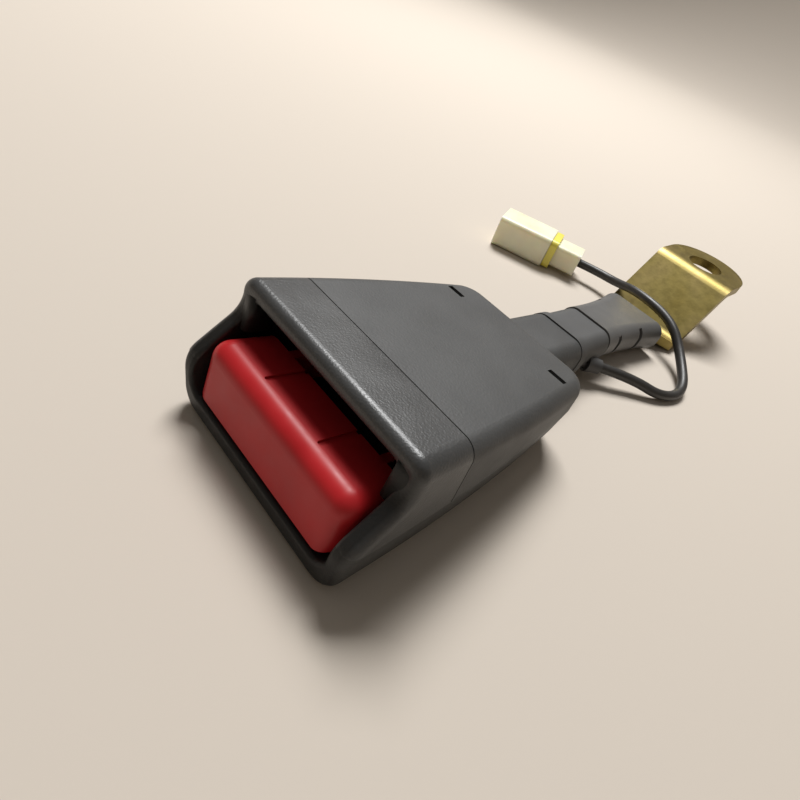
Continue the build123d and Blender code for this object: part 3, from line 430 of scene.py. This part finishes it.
def roof_frame():
    """Frame with its middle line on the roof: x across, y along it and z away from it."""
    return Matrix.Translation((0.0, cad_box[0][1], ROOF_HEIGHT)) @ Matrix.Rotation(-ROOF_SLOPE, 4, "X")


def dress(finish, *nodes):
    """Gives CAD nodes a finish."""
    for node in nodes:
        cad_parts[node].material_slots[0].material = finish.material


class BUCKLE_OT_stage(bpy.types.Operator):
    """Make the camera, the floor, the lamps and the world"""

    bl_idname = "buckle.stage"
    bl_label = "Stage"

    def execute(self, context):
        stage = context.scene.buckle_stage
        self.camera(context)
        self.floor(context, stage.floor)
        self.lamp(context, KEY_LAMP, stage.key_power)
        self.lamp(context, WALL_LAMP, stage.wall_power)
        self.world(context, stage)
        context.scene.view_settings.view_transform = "Standard"
        return {"FINISHED"}

    def camera(self, context):
        """Camera at the photograph's place, with its tilt and lens."""
        data = bpy.data.cameras.new("photo_view")
        data.sensor_width = SENSOR_WIDTH
        data.lens = SENSOR_WIDTH * FOCAL_PIXELS / FRAME_PIXELS
        data.clip_start = NEAREST_SEEN
        camera = bpy.data.objects.new("photo_view", data)
        back = Vector(CAMERA_BACK).normalized()
        right = Vector(CAMERA_RIGHT)
        right = (right - back * right.dot(back)).normalized()
        up = back.cross(right)
        turn = Matrix((right, up, back)).transposed().to_4x4()
        camera.matrix_world = Matrix.Translation(CAMERA_PLACE) @ turn
        context.scene.collection.objects.link(camera)
        context.scene.camera = camera

    def floor(self, context, colour):
        """Wide pale floor that sweeps up into a backdrop on all sides."""
        mesh = bpy.data.meshes.new("floor")
        shape = bmesh.new()
        bmesh.ops.create_grid(shape, x_segments=1, y_segments=1, size=SWEEP_REACH)
        wall = bmesh.ops.extrude_edge_only(shape, edges=list(shape.edges))["geom"]
        raised = [item for item in wall if isinstance(item, bmesh.types.BMVert)]
        bmesh.ops.translate(shape, verts=raised, vec=(0.0, 0.0, SWEEP_REACH))
        corners = [edge for edge in shape.edges if len(edge.link_faces) > 1]
        bmesh.ops.bevel(
            shape,
            geom=corners,
            offset=SWEEP_RADIUS,
            segments=SWEEP_STEPS,
            profile=0.5,
            affect="EDGES",
            material=-1,
        )
        bmesh.ops.recalc_face_normals(shape, faces=shape.faces)
        for face in shape.faces:
            face.smooth = True
        shape.to_mesh(mesh)
        shape.free()
        floor = bpy.data.objects.new("floor", mesh)
        context.scene.collection.objects.link(floor)
        finish = Finish("floor_paper", colour)
        finish.set("Roughness", 0.9)
        finish.set("Specular IOR Level", 0.2)
        mesh.materials.append(finish.material)

    def lamp(self, context, lamp, power):
        """Square soft lamp aimed at a point."""
        data = bpy.data.lights.new(lamp.name, "AREA")
        data.size = lamp.size
        data.energy = power
        light = bpy.data.objects.new(lamp.name, data)
        light.location = lamp.place
        aim = Vector(lamp.target) - Vector(lamp.place)
        light.rotation_euler = aim.to_track_quat("-Z", "Y").to_euler()
        context.scene.collection.objects.link(light)

    def world(self, context, stage):
        """Soft light from all around."""
        world = bpy.data.worlds.new("studio")
        world.use_nodes = True
        background = world.node_tree.nodes["Background"]
        background.inputs["Color"].default_value = tuple(stage.world) + (1.0,)
        background.inputs["Strength"].default_value = stage.world_strength
        context.scene.world = world


class BUCKLE_OT_cable(bpy.types.Operator):
    """Lay the sensor cable on its route"""

    bl_idname = "buckle.cable"
    bl_label = "Cable"

    def execute(self, context):
        colours = context.scene.buckle_finishes
        sizes = context.scene.buckle_sizes
        curve = bpy.data.curves.new("cable_line", "CURVE")
        curve.dimensions = "3D"
        curve.bevel_depth = sizes.cable_diameter / 2
        curve.bevel_resolution = 5
        curve.resolution_u = 16
        curve.use_fill_caps = True
        spline = curve.splines.new("NURBS")
        spline.points.add(len(CABLE_ROUTE) - 1)
        for point, place in zip(spline.points, CABLE_ROUTE):
            point.co = (*place, 1.0)
        spline.order_u = 3
        spline.use_endpoint_u = True
        cable = bpy.data.objects.new("cable_line", curve)
        context.scene.collection.objects.link(cable)
        finish = Finish("cable_sheath", colours.cable)
        finish.wear(finish.noise(grain=0.004, detail=3.0), smooth=0.34, rough=0.5)
        finish.relief(finish.noise(grain=0.0006), depth=0.00002)
        curve.materials.append(finish.material)
        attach(cable, "housing")
        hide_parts("sensor_cable")
        dress(finish, "inner_cable", "switch_wires")
        return {"FINISHED"}


class BUCKLE_OT_housing(bpy.types.Operator):
    """Finish the hood and the two covers, and mould the cheeks of the mouth"""

    bl_idname = "buckle.housing"
    bl_label = "Housing"

    def execute(self, context):
        colours = context.scene.buckle_finishes
        sizes = context.scene.buckle_sizes
        hood = grained_plastic(
            "hood_plastic", colours.hood, roughness=0.38, grain=sizes.hood_grain, depth=0.00004
        )
        # Painted shade: the hood's colour is darkened inside the mouth
        self.paint_mouth_shade(hood, colours.mouth_shade_and_switch)
        dress(hood, "front_hood")
        cover = grained_plastic(
            "cover_plastic", colours.cover, roughness=0.55, grain=sizes.cover_grain, depth=0.00004
        )
        dress(cover, "upper_cover")
        base = grained_plastic(
            "base_plastic", colours.base, roughness=0.5, grain=sizes.cover_grain, depth=0.00003
        )
        base.set("Specular IOR Level", 0.35)
        # Painted shade: the lower cover's colour is darkened inside the mouth and on the front of its lip
        self.paint_mouth_shade(base, colours.mouth_shade_and_switch)
        dress(base, "lower_cover")
        self.cheeks(context, sizes, base)
        return {"FINISHED"}

    def paint_mouth_shade(self, finish, colour):
        """Paints shade into a plastic's colour inside the mouth and on the front of its lower lip, a
        darker tone standing in for the shadow there.
        """
        along_roof = finish.place(roof_frame().translation, (-ROOF_SLOPE, 0.0, 0.0))
        upright = finish.place((0.0, 0.0, 0.0), (0.0, 0.0, 0.0))
        from_middle = finish.math("ABSOLUTE", along_roof["X"])
        inside = finish.span(from_middle, *MOUTH_SHADE_ACROSS, 1.0, 0.0)
        limits = (
            finish.span(along_roof["Z"], *MOUTH_SHADE_UNDER_ROOF, 1.0, 0.0),
            finish.span(along_roof["Y"], *MOUTH_SHADE_FROM_FRONT, 1.0, 0.0),
            finish.span(upright["Z"], *MOUTH_SHADE_OVER_FLOOR, 0.0, 1.0),
        )
        for limit in limits:
            inside = finish.math("MULTIPLY", inside, limit)
        finish.cover(inside, colour)

    def cheeks(self, context, sizes, finish):
        """Rounded cheeks inside the mouth that lead the tongue over the button's ends."""
        shape = bmesh.new()
        bmesh.ops.create_cube(shape, size=1.0)
        size = (sizes.cheek_width, sizes.cheek_length, sizes.cheek_height)
        bmesh.ops.scale(shape, verts=shape.verts, vec=size)
        middle = sizes.cheek_length / 2
        bmesh.ops.translate(shape, verts=shape.verts, vec=(sizes.cheek_width / 2, middle, 0.0))
        outer_front = [vert for vert in shape.verts if vert.co.x > 0.0 and vert.co.y < middle]
        bmesh.ops.translate(shape, verts=outer_front, vec=(0.0, sizes.cheek_flare, 0.0))
        front = [edge for edge in shape.edges if all(vert.co.y < middle for vert in edge.verts)]
        rounded = [edge for edge in front if any(vert.co.z > 0.0 for vert in edge.verts)]
        bmesh.ops.bevel(
            shape,
            geom=rounded,
            offset=sizes.cheek_round,
            segments=CHEEK_STEPS,
            profile=0.5,
            affect="EDGES",
            material=-1,
        )
        lift = sizes.cheek_height / 2 - sizes.cheek_drop
        bmesh.ops.translate(shape, verts=shape.verts, vec=(sizes.cheek_offset, sizes.cheek_setback, lift))
        copy = bmesh.ops.duplicate(shape, geom=shape.faces)["geom"]
        mirrored = [item for item in copy if isinstance(item, bmesh.types.BMVert)]
        bmesh.ops.scale(shape, verts=mirrored, vec=(-1.0, 1.0, 1.0))
        bmesh.ops.transform(shape, matrix=roof_frame(), verts=shape.verts)
        bmesh.ops.recalc_face_normals(shape, faces=shape.faces)
        add_piece(context, "mouth_cheeks", shape, finish)


class BUCKLE_OT_button(bpy.types.Operator):
    """Finish the release button"""

    bl_idname = "buckle.button"
    bl_label = "Release button"

    def execute(self, context):
        red = Finish("button_red", context.scene.buckle_finishes.button)
        red.set("Specular IOR Level", 0.35)
        red.cloud(grain=0.012, detail=2.0, dark=0.9, light=1.1)
        red.wear(red.noise(grain=0.003, detail=4.0), smooth=0.36, rough=0.46)
        red.relief(red.noise(grain=0.0018, detail=1.0), depth=0.000008)
        dress(red, "release_button")
        return {"FINISHED"}


class BUCKLE_OT_lock_work(bpy.types.Operator):
    """Finish the frame, latch, ejector and switch"""

    bl_idname = "buckle.lock_work"
    bl_label = "Lock work"

    def execute(self, context):
        colours = context.scene.buckle_finishes
        steel = metal("bright_zinc", colours.steel, roughness=0.34)
        dress(steel, "frame", "latch", "latch_pivot_pin")
        brass = metal("contact_brass", colours.brass, roughness=0.3)
        dress(brass, "switch_contacts", "switch_bridge", "connector_terminals")
        acetal = grained_plastic(
            "natural_acetal", colours.acetal, roughness=0.4, grain=0.0005, depth=0.00001
        )
        dress(acetal, "ejector")
        switch = grained_plastic(
            "switch_plastic", colours.mouth_shade_and_switch, roughness=0.45, grain=0.0005, depth=0.00001
        )
        dress(switch, "switch_housing")
        return {"FINISHED"}


class BUCKLE_OT_springs(bpy.types.Operator):
    """Wind the return springs"""

    bl_idname = "buckle.springs"
    bl_label = "Springs"

    def execute(self, context):
        colours = context.scene.buckle_finishes
        steel = metal("spring_wire", tint(colours.steel, 0.8), roughness=0.28)
        for spring in SPRINGS:
            shape = bmesh.new()
            for offset in spring.offsets:
                self.wind(shape, spring, offset)
            bmesh.ops.transform(shape, matrix=roof_frame(), verts=shape.verts)
            bmesh.ops.recalc_face_normals(shape, faces=shape.faces)
            piece = add_piece(context, spring.name, shape, steel)
            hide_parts(spring.node)
            self.press(piece, spring)
        return {"FINISHED"}

    def wind(self, shape, spring, offset):
        """Winds one coil between its seats."""
        known = set(shape.verts)
        steps = spring.turns * COIL_STEPS
        rise = (spring.length - spring.wire) / steps
        start = Matrix.Translation(((spring.diameter - spring.wire) / 2, spring.wire / 2, 0.0))
        circle = bmesh.ops.create_circle(shape, radius=spring.wire / 2, segments=WIRE_SIDES, matrix=start)
        ring = circle["verts"]
        edges = [edge for edge in shape.edges if edge.verts[0] in ring]
        bmesh.ops.spin(
            shape,
            geom=ring + edges,
            cent=(0.0, 0.0, 0.0),
            axis=(0.0, 1.0, 0.0),
            dvec=(0.0, rise, 0.0),
            angle=math.tau * spring.turns,
            steps=steps,
        )
        wound = [vert for vert in shape.verts if vert not in known]
        ends = [edge for edge in shape.edges if edge.is_boundary]
        bmesh.ops.holes_fill(shape, edges=ends, sides=WIRE_SIDES)
        place = Matrix.Translation((offset, spring.setback, spring.level))
        if spring.upright:
            place = place @ Matrix.Rotation(math.pi / 2, 4, "X")
        bmesh.ops.transform(shape, matrix=place, verts=wound)

    def press(self, piece, spring):
        """Gives a spring its own copy of its mesh."""
        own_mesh(piece)


class BUCKLE_OT_stalk(bpy.types.Operator):
    """Finish the anchor strap, its sleeve, the boot and the grommet"""

    bl_idname = "buckle.stalk"
    bl_label = "Stalk"

    def execute(self, context):
        colours = context.scene.buckle_finishes
        dress(self.plating(colours.plating), "anchor_strap", "strap_rivet")
        rubber = grained_plastic(
            "boot_rubber", colours.rubber, roughness=0.6, grain=0.0006, depth=0.00002
        )
        dress(rubber, "neck_boot", "cable_grommet")
        sleeve = grained_plastic(
            "sleeve_plastic", colours.sleeve, roughness=0.42, grain=0.0005, depth=0.00002
        )
        dress(sleeve, "strap_sleeve")
        return {"FINISHED"}

    def plating(self, colour):
        """Yellow zinc with soft patches of its passivation."""
        finish = Finish("yellow_zinc", colour, metallic=1.0)
        stops = [
            (place, tuple(channel * share for channel, share in zip(colour, shares)))
            for place, shares in PLATING_PATCHES
        ]
        finish.feed("Base Color", finish.shades(finish.noise(grain=0.016), stops))
        finish.wear(finish.noise(grain=0.0022, detail=4.0), smooth=0.38, rough=0.48)
        finish.relief(finish.noise(grain=0.0007, detail=3.0), depth=0.000015)
        return finish


class BUCKLE_OT_connector(bpy.types.Operator):
    """Finish the connector and its lock"""

    bl_idname = "buckle.connector"
    bl_label = "Connector"

    def execute(self, context):
        colours = context.scene.buckle_finishes
        cream = grained_plastic(
            "connector_cream", colours.connector, roughness=0.4, grain=0.0008, depth=0.000008
        )
        cream.set("Subsurface Weight", 0.4)
        cream.set("Subsurface Radius", (1.0, 0.75, 0.45))
        cream.set("Subsurface Scale", 0.004)
        dress(cream, "connector_housing")
        yellow = grained_plastic(
            "connector_yellow", colours.lock, roughness=0.35, grain=0.0008, depth=0.000006
        )
        dress(yellow, "connector_lock")
        return {"FINISHED"}


class BUCKLE_PT_panel(bpy.types.Panel):
    """Settings and steps of the buckle"""

    bl_idname = "BUCKLE_PT_panel"
    bl_label = "Seat Belt Buckle"
    bl_space_type = "VIEW_3D"
    bl_region_type = "UI"
    bl_category = "Buckle"

    def draw(self, context):
        layout = self.layout
        for group in GROUPS:
            settings = getattr(context.scene, group)
            column = layout.column(align=True)
            for name in settings.__annotations__:
                column.prop(settings, name)
        steps = layout.column(align=True)
        for operator in OPERATORS:
            steps.operator(operator.bl_idname)


GROUPS = {
    "buckle_finishes": BuckleFinishes,
    "buckle_sizes": BuckleSizes,
    "buckle_stage": BuckleStage,
}
OPERATORS = (
    BUCKLE_OT_stage,
    BUCKLE_OT_cable,
    BUCKLE_OT_housing,
    BUCKLE_OT_button,
    BUCKLE_OT_lock_work,
    BUCKLE_OT_springs,
    BUCKLE_OT_stalk,
    BUCKLE_OT_connector,
)


def register():
    for name, group in GROUPS.items():
        bpy.utils.register_class(group)
        setattr(bpy.types.Scene, name, PointerProperty(type=group))
    for operator in OPERATORS:
        bpy.utils.register_class(operator)
    bpy.utils.register_class(BUCKLE_PT_panel)


def unregister():
    bpy.utils.unregister_class(BUCKLE_PT_panel)
    for operator in reversed(OPERATORS):
        bpy.utils.unregister_class(operator)
    for name, group in GROUPS.items():
        delattr(bpy.types.Scene, name)
        bpy.utils.unregister_class(group)


def main():
    register()
    bpy.ops.buckle.stage()
    bpy.ops.buckle.cable()
    bpy.ops.buckle.housing()
    bpy.ops.buckle.button()
    bpy.ops.buckle.lock_work()
    bpy.ops.buckle.springs()
    bpy.ops.buckle.stalk()
    bpy.ops.buckle.connector()


if __name__ == "__main__":
    main()
